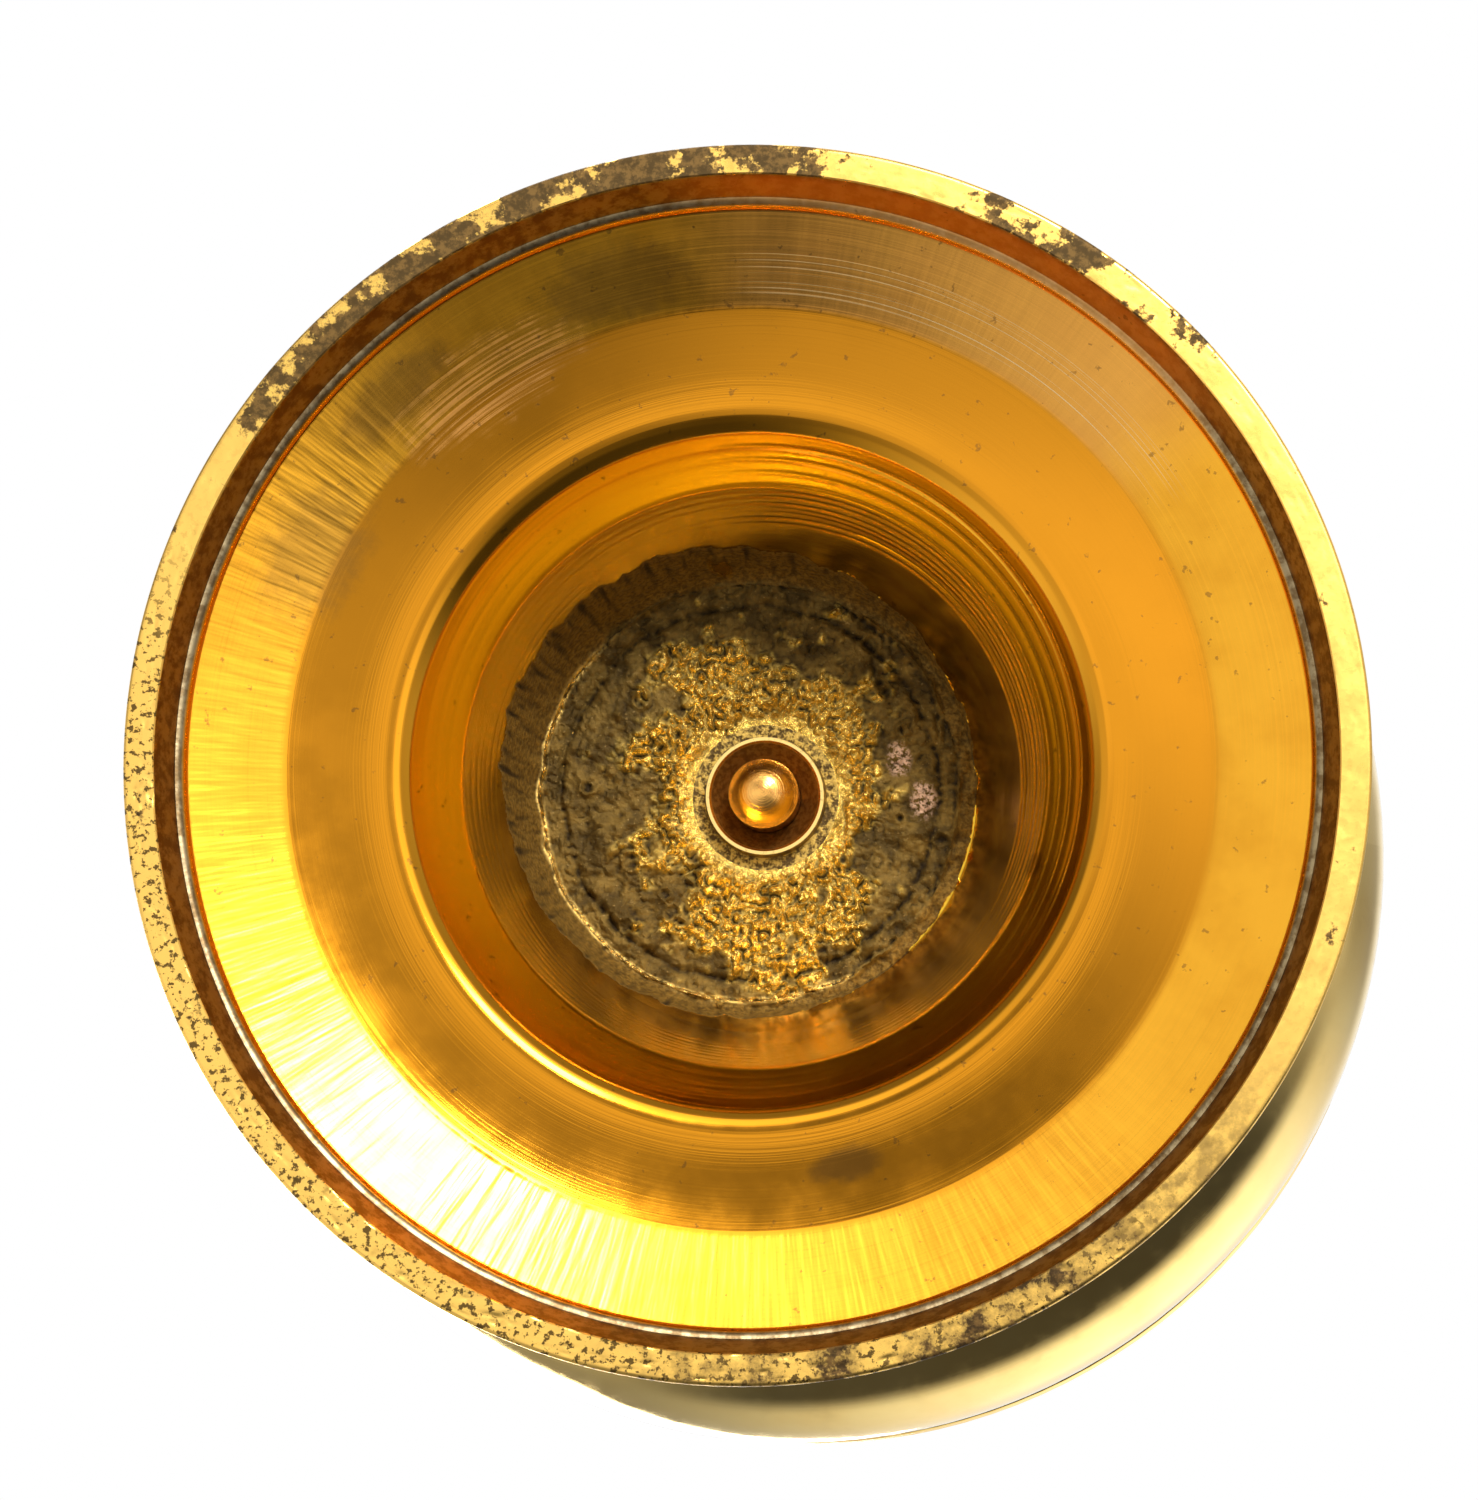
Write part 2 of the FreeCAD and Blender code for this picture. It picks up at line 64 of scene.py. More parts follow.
def add_camera():
    data = bpy.data.cameras.new("camera")
    data.lens = CAMERA_LENS
    data.sensor_width = 36.0
    data.clip_start = 0.01
    camera = bpy.data.objects.new("camera", data)
    SCENE.collection.objects.link(camera)
    SCENE.camera = camera
    out = Vector((math.sin(CAMERA_TILT) * math.cos(CAMERA_AZIMUTH),
                  math.sin(CAMERA_TILT) * math.sin(CAMERA_AZIMUTH), -math.cos(CAMERA_TILT)))
    right = (Vector((1, 0, 0)) - out * out.x).normalized()
    up = out.cross(right)
    turn = Matrix((right, up, out)).transposed().to_4x4()
    camera.matrix_world = Matrix.Translation(out * CAMERA_DISTANCE) @ turn


# ---------------------------------------------------------------------------------------------
# Seeded noise on arrays of points
# ---------------------------------------------------------------------------------------------
def lattice(index, seed):
    """A repeatable random number from 0 to 1 for each whole-numbered lattice point."""
    mixed = index[..., 0] * 374761393 + index[..., 1] * 668265263
    mixed = mixed + index[..., 2] * 2147483647 + seed * 1274126177
    mixed = (mixed ^ (mixed >> 13)) * 1103515245
    mixed = mixed & 0xFFFFFFFF
    mixed = (mixed ^ (mixed >> 16)) & 0xFFFF
    return mixed / 65535.0


def value_noise(points, seed):
    """Smooth noise from 0 to 1 at an (n, 3) array of points, with features one unit across."""
    base = np.floor(points).astype(np.int64)
    part = points - base
    part = part * part * (3 - 2 * part)
    total = np.zeros(len(points))
    for corner in range(8):
        step = np.array([(corner >> axis) & 1 for axis in range(3)])
        weight = np.prod(np.where(step, part, 1 - part), axis=1)
        total += weight * lattice(base + step, seed)
    return total


def fractal(points, size, octaves, seed):
    """Layered noise around 0, with features of this size and finer ones at half the height."""
    total = np.zeros(len(points))
    height = 1.0
    for octave in range(octaves):
        total += height * (value_noise(points / size, seed + octave * 17) - 0.5) * 2
        size *= 0.5
        height *= 0.5
    return total


def smooth_step(low, high, value):
    """0 up to low, 1 from high on, and an eased rise between them."""
    part = np.clip((value - low) / (high - low), 0, 1)
    return part * part * (3 - 2 * part)


# ---------------------------------------------------------------------------------------------
# Outlines of turned pieces, in millimetres: lists of (radius, height)
# ---------------------------------------------------------------------------------------------
def line(start, end, step):
    """Points from start to end, without the last one."""
    count = max(1, math.ceil(math.dist(start, end) / step))
    return [tuple(np.array(start) + (np.array(end) - np.array(start)) * i / count) for i in range(count)]


def arc(start, end, radius, side, step):
    """Points on the arc from start to end that bulges to that side of the way, without the last one."""
    (x0, y0), (x1, y1) = start, end
    chord = math.dist(start, end)
    sign = 1 if side == "left" else -1
    normal = (-(y1 - y0) / chord * sign, (x1 - x0) / chord * sign)
    drop = math.sqrt(max(radius ** 2 - chord ** 2 / 4, 0))
    centre = ((x0 + x1) / 2 - normal[0] * drop, (y0 + y1) / 2 - normal[1] * drop)
    first = math.atan2(y0 - centre[1], x0 - centre[0])
    sweep = 2 * math.asin(min(1, chord / 2 / radius)) * -sign
    count = max(2, math.ceil(abs(sweep) * radius / step))
    return [(centre[0] + radius * math.cos(first + sweep * i / count),
             centre[1] + radius * math.sin(first + sweep * i / count)) for i in range(count)]


# ---------------------------------------------------------------------------------------------
# The foot casting
# ---------------------------------------------------------------------------------------------
FOOT_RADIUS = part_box("foot")[1].x / MM
FOOT_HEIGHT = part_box("foot")[1].z / MM
RIM_EDGE = 0.4
RIM_INNER = FOOT_RADIUS - 2.6
RIM_CHAMFER = 0.12
FLARE_EDGE = (46.6, 4.6)
RIM_WALL_TOP = (FLARE_EDGE[0] + 0.8, 3.3)
COVE = (39.4, 7.7)
BASIN_EDGE = (31.1, 10.0)
WELL_LIP = (28.5, 11.7)
WELL_BEND = (25.2, 16.0)
WELL_END = (21.8, 27.0)
CAST_STEP = (18.9, 34.0)
CAST_FLOOR_END = (17.0, 34.0)
FLOOR_HEIGHT = 34.6
HUB_BEAD = (31.0, 15.0)
HUB_START = (29.0, 18.2)
HUB_END = (22.5, FOOT_HEIGHT - 3.6)
HUB_TOP = (14.0, FOOT_HEIGHT - 1.0)
NUT_BORE = 4.55
WASHER_CLEAR = 7.1
FOOT_TURNS = 800
CORE_CENTRE = (-1.8, -0.8)
CORE_RADIUS = 21.1
STEP_CENTRE = (-1.5, -0.5)
STEP_RADIUS = 19.2
WALL_SLOPE = 2.75
GROOVE_HEIGHTS = (12.4, 23.0)
BUBBLE_COUNT = 26
PITTED_SIDE = 122
DRAGGED_SIDE = 330
rng = np.random.default_rng(7)


def foot_outside():
    """Half section of the outside, from the standing ring up and in to the rod's hole."""
    rim = FOOT_RADIUS
    points = arc((rim - RIM_EDGE, 0), (rim, RIM_EDGE), RIM_EDGE, "right", 0.1)
    points += line((rim, RIM_EDGE), (rim, 4.1), 0.6)
    points += arc((rim, 4.1), (rim - 0.3, 4.4), 0.3, "right", 0.1)
    points += line((rim - 0.3, 4.4), (rim - 1.0, 5.0), 0.3)
    points += arc((rim - 1.0, 5.0), (rim - 1.8, 8.0), 1.7, "right", 0.2)
    points += line((rim - 1.8, 8.0), (rim - 2.8, 8.4), 0.3)
    points += arc((rim - 2.8, 8.4), HUB_BEAD, 40.0, "left", 0.5)
    points += arc(HUB_BEAD, (30.2, 17.8), 1.6, "right", 0.2)
    points += line((30.2, 17.8), HUB_START, 0.4)
    points += arc(HUB_START, HUB_END, 24.0, "right", 0.5)
    points += arc(HUB_END, HUB_TOP, 14.0, "left", 0.5)
    points += line(HUB_TOP, (HUB_TOP[0], FOOT_HEIGHT), 0.3)
    points += line((HUB_TOP[0], FOOT_HEIGHT), (NUT_BORE, FOOT_HEIGHT), 3.0)
    points += [(NUT_BORE, FOOT_HEIGHT)]
    return points


def eased(points, reach):
    """The same points with each one drawn to the mean of its neighbours; the ends stay."""
    outline = np.array(points)
    padded = np.pad(outline, ((reach, reach), (0, 0)), mode="reflect", reflect_type="odd")
    weights = np.hanning(2 * reach + 3)[1:-1]
    weights /= weights.sum()
    smooth = [np.convolve(padded[:, axis], weights, mode="valid") for axis in range(2)]
    return [tuple(point) for point in np.column_stack(smooth)]


def foot_underside():
    """Half section of the underside, from the rod's hole out to the standing ring."""
    cast = line((NUT_BORE, FLOOR_HEIGHT), CAST_FLOOR_END, 0.16)
    cast += line(CAST_FLOOR_END, CAST_STEP, 0.14)
    cast += line(CAST_STEP, WELL_END, 0.15)
    turned = line(WELL_END, WELL_BEND, 0.16)
    turned += line(WELL_BEND, WELL_LIP, 0.2)
    turned += arc(WELL_LIP, BASIN_EDGE, 3.4, "right", 0.16)
    turned += arc(BASIN_EDGE, COVE, 45.0, "left", 0.28)
    flare = line(COVE, FLARE_EDGE, 0.24)
    rim = arc(FLARE_EDGE, RIM_WALL_TOP, 1.1, "right", 0.12)
    rim += line(RIM_WALL_TOP, (RIM_INNER, RIM_CHAMFER), 0.22)
    rim += line((RIM_INNER, RIM_CHAMFER), (RIM_INNER + RIM_CHAMFER, 0), 0.06)
    rim += line((RIM_INNER + RIM_CHAMFER, 0), (FOOT_RADIUS - RIM_EDGE, 0), 0.14)
    return cast + eased(turned, 3) + flare + rim


def turned_wall(radius):
    """Height of the well's turned wall, carried on up past the well's end to the floor."""
    bend_slope = (WELL_END[1] - WELL_BEND[1]) / (WELL_BEND[0] - WELL_END[0])
    lower = WELL_BEND[1] + bend_slope * (WELL_BEND[0] - radius)
    upper = WELL_END[1] + WALL_SLOPE * (WELL_END[0] - radius)
    return np.minimum(np.where(radius < WELL_END[0], upper, lower), 33.9)


def core_surface(x, y):
    """Height of the surface, whether it is as cast, how far inside the pocket's floor, and its crust.

    The core sat a little off the axis, so the pocket's edge and floor aren't centred on the well.
    """
    points = np.column_stack([x, y, np.zeros(len(x))])
    inside = CORE_RADIUS - np.hypot(x - CORE_CENTRE[0], y - CORE_CENTRE[1])
    inside = inside + 0.20 * fractal(points, 1.6, 3, 3)
    beyond = np.hypot(x - STEP_CENTRE[0], y - STEP_CENTRE[1]) - STEP_RADIUS
    beyond = beyond + 0.22 * fractal(points, 2.6, 3, 5)
    share = np.clip(inside / np.maximum(inside + beyond, 0.05), 0, 1)
    start = turned_wall(np.hypot(x, y))
    wall = start + (33.6 - start) * share ** 0.8 + 0.30 * fractal(points, 1.3, 3, 13)
    crust = crust_share(x, y, points)
    lumps = 0.42 * fractal(points, 3.4, 2, 11) + 0.30 * fractal(points, 1.5, 2, 29)
    grain = np.abs(fractal(points, 0.85, 3, 23)) - 0.25
    flash = 0.45 * np.exp(-(beyond / 0.22) ** 2) * smooth_step(-0.3, 0.2, fractal(points, 3.0, 2, 31))
    groove = 0.45 * np.exp(-((beyond + 1.9) / 0.35) ** 2)
    floor = 33.9 - 0.25 * crust + lumps - (0.35 + 0.55 * crust) * grain + groove - bubbles(x, y)
    height = np.where(beyond > 0, wall, floor) - flash
    return np.where(inside < 0, start, height), inside > 0, -beyond, crust


def crust_share(x, y, points):
    """1 on the bright grainy patch round the nut, taller than it is wide, and 0 beyond its ragged edge."""
    reach = np.hypot((x + 0.6) / 11.2, (y + 0.4) / 16.6)
    ragged = 0.30 * fractal(points, 4.2, 3, 61) + 0.16 * fractal(points, 1.3, 2, 67)
    return smooth_step(-0.06, 0.12, 1.0 - reach + ragged)


def bubbles(x, y):
    """Small raised rings where gas met the core."""
    height = np.zeros(len(x))
    for _ in range(BUBBLE_COUNT):
        angle, distance = rng.uniform(0, 2 * math.pi), rng.uniform(9.5, 17.5)
        size = rng.uniform(0.45, 0.95)
        away = np.hypot(x - distance * math.cos(angle), y - distance * math.sin(angle))
        height += 0.28 * np.exp(-((away - size) / 0.2) ** 2) - 0.22 * np.exp(-(away / (size * 0.6)) ** 2)
    return height


def degrees_from(angle, side):
    """Degrees, from 0 to 180, between each angle in radians and that side of the foot."""
    return np.abs((np.degrees(angle) - side + 180) % 360 - 180)


def lathe_cuts(height, angle):
    """Depth of the tool's grooves in the well's wall, deepest where the tool dragged on one side."""
    depth = np.zeros(len(height))
    place = GROOVE_HEIGHTS[0]
    while place < GROOVE_HEIGHTS[1]:
        depth += rng.uniform(0.07, 0.15) * np.exp(-((height - place) / rng.uniform(0.12, 0.2)) ** 2)
        place += rng.uniform(0.7, 1.25)
    return depth * (0.12 + 0.88 * (1 - smooth_step(30, 75, degrees_from(angle, DRAGGED_SIDE))))


def shape_underside(radius, angle, z, under):
    """Give the underside its cored pocket, tool grooves and worn ring as real relief."""
    well = under & (z > WELL_LIP[1]) & (radius > WELL_END[0] - 0.2)
    radius = np.where(well, radius + lathe_cuts(z, angle), radius)
    x, y = radius * np.cos(angle), radius * np.sin(angle)
    flat = np.column_stack([x, y, np.zeros(len(x))])
    ring = under & (radius > RIM_INNER - 0.05) & (z < 0.2)
    rough_side = 0.25 + 0.75 * (1 - smooth_step(50, 90, degrees_from(angle, PITTED_SIDE)))
    pits = np.clip(fractal(flat, 0.6, 2, 71) - 0.50, 0, 1) * 0.20
    dents = np.clip(fractal(flat, 1.7, 2, 77) - 0.66, 0, 1) * 0.22
    z = np.where(ring, z + (pits + dents) * rough_side * smooth_step(0.0, 0.5, FOOT_RADIUS - radius), z)
    deep = under & (radius < 24.4) & (z > 18.5) & (radius > NUT_BORE + 0.01)
    shaped, in_core, depth, crust = core_surface(x, y)
    shaped = np.where(in_core | (radius < WELL_END[0]), shaped, z)
    seat = np.clip(shaped, FLOOR_HEIGHT - 0.35, FLOOR_HEIGHT + 0.1)
    shaped = seat + (shaped - seat) * smooth_step(WASHER_CLEAR - 0.6, WASHER_CLEAR + 1.6, radius)
    z = np.where(deep, shaped, z)
    return x, y, z, deep & in_core, depth, crust


def grid_mean(values, rings, reach):
    """Mean of each point's neighbourhood on the ring and turn grid."""
    grid = values.reshape(rings, FOOT_TURNS)
    total = np.zeros_like(grid)
    for ring_step in range(-reach, reach + 1):
        rows = np.clip(np.arange(rings) + ring_step, 0, rings - 1)
        for turn_step in range(-reach, reach + 1):
            total += np.roll(grid[rows], turn_step, axis=1)
    return (total / (2 * reach + 1) ** 2).ravel()


def build_foot():
    angles = np.linspace(0, 2 * math.pi, FOOT_TURNS, endpoint=False)
    below, outside = foot_underside(), foot_outside()
    outline = np.array(below + outside)
    rings = len(outline)
    radius, angle = (grid.ravel() for grid in np.meshgrid(outline[:, 0], angles, indexing="ij"))
    height = np.repeat(outline[:, 1], FOOT_TURNS)
    under = np.arange(len(height)) < len(below) * FOOT_TURNS
    x, y, z, is_cast, depth, crust = shape_underside(radius, angle, height, under)
    mesh = bpy.data.meshes.new("foot_casting")
    ring, turn = np.meshgrid(np.arange(rings), np.arange(FOOT_TURNS), indexing="ij")
    next_ring, next_turn = (ring + 1) % rings, (turn + 1) % FOOT_TURNS
    corners = np.stack([ring * FOOT_TURNS + turn, ring * FOOT_TURNS + next_turn,
                        next_ring * FOOT_TURNS + next_turn, next_ring * FOOT_TURNS + turn], axis=-1)
    faces = corners.reshape(-1, 4)
    mesh.from_pydata(np.column_stack([x, y, z]) * MM, [], faces.tolist())
    # 1 where a point lies deeper than its neighbours: the cast core paints shade, with dirt, into these
    # crevices.
    hollow_shade = smooth_step(-0.02, 0.30, z - grid_mean(z, rings, 3))
    for name, values in (("crust", crust), ("hollow_shade", hollow_shade), ("depth", depth)):
        layer = mesh.attributes.new(name, "FLOAT", "POINT")
        layer.data.foreach_set("value", values.astype(np.float32))
    kinds = foot_face_kinds(x, y, z, faces, under, is_cast)
    mesh.polygons.foreach_set("material_index", kinds.astype(np.int32))
    mesh.polygons.foreach_set("use_smooth", np.ones(len(faces), bool))
    mesh.update()
    mesh.set_sharp_from_angle(angle=math.radians(40))
    foot = bpy.data.objects.new("foot_casting", mesh)
    SCENE.collection.objects.link(foot)
    for material in (turned_underside(), standing_ring(), cast_core(), foot_exterior()):
        mesh.materials.append(material)
    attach(foot, "vessel")
    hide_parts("foot")


def foot_face_kinds(x, y, z, faces, under, is_cast):
    """Material of each face: 0 turned underside, 1 standing ring, 2 cast core, 3 outside."""
    centre_radius = np.hypot(x, y)[faces].mean(axis=1)
    centre_height = z[faces].mean(axis=1)
    is_under = under[faces].all(axis=1)
    kinds = np.where(is_under, 0, 3)
    kinds = np.where(is_cast[faces].sum(axis=1) > 2, 2, kinds)
    return np.where((centre_radius > RIM_INNER) & (centre_height < 0.6), 1, kinds)


# ---------------------------------------------------------------------------------------------
# Materials
# ---------------------------------------------------------------------------------------------
class Nodes:
    """Short ways to add nodes to one node tree."""

    def __init__(self, tree):
        self.nodes = tree.nodes
        self.links = tree.links

    def put(self, socket, value):
        if isinstance(value, bpy.types.NodeSocket):
            self.links.new(value, socket)
        else:
            socket.default_value = value

    def math(self, operation, first, second=0.0, clamp=False):
        node = self.nodes.new("ShaderNodeMath")
        node.operation = operation
        node.use_clamp = clamp
        self.put(node.inputs[0], first)
        self.put(node.inputs[1], second)
        return node.outputs[0]

    def span(self, value, low, high, out_low=0.0, out_high=1.0):
        """value from low to high becomes out_low to out_high, eased at both ends."""
        node = self.nodes.new("ShaderNodeMapRange")
        node.interpolation_type = "SMOOTHSTEP"
        self.put(node.inputs["Value"], value)
        node.inputs["From Min"].default_value = low
        node.inputs["From Max"].default_value = high
        node.inputs["To Min"].default_value = out_low
        node.inputs["To Max"].default_value = out_high
        return node.outputs[0]

    def mix(self, share, first, second):
        node = self.nodes.new("ShaderNodeMix")
        node.data_type = "RGBA"
        self.put(node.inputs["Factor"], share)
        for socket, value in ((node.inputs[6], first), (node.inputs[7], second)):
            self.put(socket, value if isinstance(value, bpy.types.NodeSocket) else (*value, 1.0))
        return node.outputs[2]


class Graph(Nodes):
    """Short ways to build one material's nodes."""

    def __init__(self, name):
        self.material = bpy.data.materials.new(name)
        self.material.use_nodes = True
        super().__init__(self.material.node_tree)
        self.shader = self.nodes["Principled BSDF"]
        coordinates = self.nodes.new("ShaderNodeTexCoord")
        self.place = self.scale_vector(coordinates.outputs["Object"], (1 / MM,) * 3)
        parts = self.nodes.new("ShaderNodeSeparateXYZ")
        self.links.new(self.place, parts.inputs[0])
        self.x, self.y, self.z = parts.outputs
        self.radius = self.math("SQRT", self.math("ADD", self.math("MULTIPLY", self.x, self.x),
                                                  self.math("MULTIPLY", self.y, self.y)))
        self.angle = self.math("ARCTAN2", self.y, self.x)

    def scale_vector(self, vector, scale):
        node = self.nodes.new("ShaderNodeVectorMath")
        node.operation = "MULTIPLY"
        self.put(node.inputs[0], vector)
        node.inputs[1].default_value = scale
        return node.outputs[0]

    def combine(self, x, y, z):
        node = self.nodes.new("ShaderNodeCombineXYZ")
        for socket, value in zip(node.inputs, (x, y, z)):
            self.put(socket, value)
        return node.outputs[0]

    def noise(self, vector, scale, detail=3.0, roughness=0.55, distortion=0.0):
        node = self.nodes.new("ShaderNodeTexNoise")
        self.put(node.inputs["Vector"], vector)
        node.inputs["Scale"].default_value = scale
        node.inputs["Detail"].default_value = detail
        node.inputs["Roughness"].default_value = roughness
        node.inputs["Distortion"].default_value = distortion
        return node.outputs[0]

    def around(self, centre, half_width, edge):
        """1 within half_width degrees of the azimuth centre, 0 beyond it by edge degrees."""
        turned = self.math("SUBTRACT", self.angle, math.radians(centre))
        wrapped = self.math("ARCCOSINE", self.math("COSINE", turned))
        return self.span(wrapped, math.radians(half_width + edge), math.radians(half_width))

    def band(self, low, high, edge):
        """1 between two radii, fading over edge millimetres outside them."""
        inside = self.span(self.radius, low - edge, low)
        outside = self.span(self.radius, high + edge, high)
        return self.math("MULTIPLY", inside, outside)

    def times(self, *values):
        total = values[0]
        for value in values[1:]:
            total = self.math("MULTIPLY", total, value)
        return total

    def plus(self, *values):
        total = values[0]
        for value in values[1:]:
            total = self.math("ADD", total, value)
        return total

    def polar(self, around_scale, along_scale, height_scale=0.0):
        """Coordinates that run round the axis, along the radius and up."""
        return self.combine(
            self.math("MULTIPLY", self.math("COSINE", self.angle), around_scale),
            self.math("MULTIPLY", self.math("SINE", self.angle), around_scale),
            self.plus(self.math("MULTIPLY", self.radius, along_scale),
                      self.math("MULTIPLY", self.z, height_scale)))

    def bump(self, height, distance, strength=1.0):
        node = self.nodes.new("ShaderNodeBump")
        node.inputs["Strength"].default_value = strength
        node.inputs["Distance"].default_value = distance * MM
        self.put(node.inputs["Height"], height)
        self.links.new(node.outputs[0], self.shader.inputs["Normal"])

    def attribute(self, name):
        node = self.nodes.new("ShaderNodeAttribute")
        node.attribute_name = name
        return node.outputs["Fac"]

    def spun(self, amount):
        """Stretch highlights across the lathe's fine rings."""
        tangent = self.nodes.new("ShaderNodeTangent")
        tangent.direction_type = "RADIAL"
        tangent.axis = "Z"
        self.links.new(tangent.outputs[0], self.shader.inputs["Tangent"])
        self.shader.inputs["Anisotropic"].default_value = amount

    def patch(self, azimuth, radius, reach_round, reach_out, seed_shift):
        """1 on one ragged patch at this azimuth and radius, 0 away from it, sizes in millimetres."""
        turned = self.math("SUBTRACT", self.angle, math.radians(azimuth))
        round_way = self.math("MULTIPLY", self.math("SINE", turned), radius / reach_round)
        out_way = self.math("MULTIPLY", self.math("SUBTRACT", self.radius, radius), 1 / reach_out)
        away = self.math("SQRT", self.plus(self.times(round_way, round_way), self.times(out_way, out_way)))
        facing = self.math("GREATER_THAN", self.math("COSINE", turned), 0.0)
        moved = self.nodes.new("ShaderNodeVectorMath")
        moved.operation = "ADD"
        self.links.new(self.place, moved.inputs[0])
        moved.inputs[1].default_value = (seed_shift, seed_shift * 0.7, 0.0)
        ragged = self.times(self.noise(moved.outputs[0], 0.55, 4.0, 0.6), 1.1)
        return self.times(self.span(self.plus(away, ragged, -0.55), 1.25, 0.55), facing)

    def finish(self, colour, roughness, metallic=1.0):
        is_socket = isinstance(colour, bpy.types.NodeSocket)
        self.put(self.shader.inputs["Base Color"], colour if is_socket else (*colour, 1))
        self.put(self.shader.inputs["Roughness"], roughness)
        self.put(self.shader.inputs["Metallic"], metallic)
        return self.material


BRASS = (0.95, 0.60, 0.14)
ORANGE_BRASS = (0.94, 0.46, 0.035)
DEEP_BRASS = (0.68, 0.28, 0.016)
WELL_BRASS = (0.74, 0.45, 0.04)
PINK_BRASS = (0.82, 0.40, 0.11)
PATINA = (0.055, 0.032, 0.014)
OLIVE = (0.36, 0.25, 0.07)


def underside_relief(g, flare):
    """Lathe rings everywhere, radial chatter on the flare, and short ticks along the standing ring's wall."""
    lathe = g.noise(g.polar(0.5, 2.2, 2.2), 1.0, 4.0, 0.65)
    fine = g.noise(g.polar(1.2, 7.0, 7.0), 1.0, 2.0, 0.5)
    chatter = g.noise(g.polar(44.0, 0.12), 1.0, 2.0, 0.5)
    strong = g.plus(0.25, g.times(g.around(86, 34, 14), 0.9), g.times(g.around(168, 44, 16), 1.0))
    ticks = g.times(g.noise(g.polar(70.0, 0.3), 1.0, 1.0), g.band(46.6, 48.4, 0.1), 0.8)
    return g.plus(g.times(lathe, 0.35), g.times(fine, 0.22), g.times(chatter, flare, strong, 2.4), ticks)


def underside_brass(g, well, wall):
    """Brass that deepens from the flare inwards, with a soiled wall inside the standing ring."""
    mottle = g.noise(g.place, 0.09, 4.0, 0.6)
    inner = g.span(g.radius, COVE[0] + 0.4, COVE[0] - 0.6)
    tone = g.mix(inner, ORANGE_BRASS, DEEP_BRASS)
    tone = g.mix(g.times(g.span(mottle, 0.35, 0.7), 0.5), tone, DEEP_BRASS)
    tone = g.mix(well, tone, WELL_BRASS)
    soiled = g.span(g.noise(g.place, 0.7, 5.0, 0.7), 0.40, 0.60)
    return g.mix(g.times(wall, 0.92), tone, g.mix(soiled, (0.32, 0.27, 0.17), (0.12, 0.090, 0.055)))


def stained(g, tone):
    """The tone with a few brown stains, scattered specks and grime high in the well."""
    stains = g.plus(g.patch(75.6, 34.4, 3.4, 1.5, 11.0), g.patch(115, 41.4, 1.5, 0.9, 17.0),
                    g.patch(18, 25.4, 1.2, 0.7, 29.0))
    specks = g.span(g.noise(g.place, 0.9, 3.0, 0.6), 0.66, 0.72)
    grime = g.times(g.span(g.z, 17.0, 26.0), g.span(g.noise(g.place, 0.5, 4.0, 0.6), 0.35, 0.6))
    tone = g.mix(g.math("MULTIPLY", stains, 0.62, clamp=True), tone, (0.24, 0.12, 0.03))
    tone = g.mix(g.times(specks, 0.55), tone, (0.20, 0.10, 0.03))
    return g.mix(g.times(grime, 0.4), tone, (0.42, 0.20, 0.02))


def turned_underside():
    """Lathe-cut surfaces under the foot: rings, radial chatter, stains, rubbed patches and a painted dark
    reflection on the flare.
    """
    g = Graph("turned_underside")
    g.spun(0.55)
    flare = g.band(COVE[0], FLARE_EDGE[0] + 1.5, 0.5)
    well = g.span(g.radius, 30.5, 26.0)
    wall = g.span(g.radius, 46.7, 47.0)
    g.bump(underside_relief(g, flare), 0.05, 0.5)
    scuffs = g.span(g.noise(g.polar(2.0, 5.0), 1.0, 4.0, 0.6), 0.42, 0.62)
    rubbed = g.times(g.patch(235, 39.6, 8.6, 3.2, 3.0), scuffs)
    # Painted reflection: dark brown patches on one side of the flare stand for a dark thing mirrored there.
    painted_dark_reflection = g.plus(g.patch(206, 41.0, 6.0, 4.0, 41.0), g.patch(255, 42.5, 7.0, 3.0, 47.0),
                    g.patch(226, 43.4, 6.0, 2.2, 53.0))
    lines = g.span(g.noise(g.polar(0.5, 11.0), 1.0, 2.0, 0.5), 0.60, 0.66)
    scratches = g.times(lines, g.around(298, 24, 8), g.band(40.4, 43.2, 0.4))
    tone = underside_brass(g, well, wall)
    tone = g.mix(g.times(rubbed, 0.9), tone, PINK_BRASS)
    tone = g.mix(g.times(g.around(294, 20, 16), flare, 0.55), tone, PINK_BRASS)
    # Paint that dark reflection onto the flare as brown.
    tone = g.mix(g.times(painted_dark_reflection, 0.5), tone, (0.30, 0.155, 0.035))
    tone = g.mix(g.times(scratches, 0.8), tone, (0.98, 0.74, 0.40))
    base = g.span(g.noise(g.place, 0.16, 4.0, 0.6), 0.3, 0.7, 0.10, 0.17)
    brushed = g.plus(g.times(rubbed, 0.24), g.times(scratches, 0.2))
    rough = g.plus(base, g.times(flare, 0.06), g.times(well, 0.06), g.times(wall, 0.20), brushed)
    return g.finish(stained(g, tone), rough)


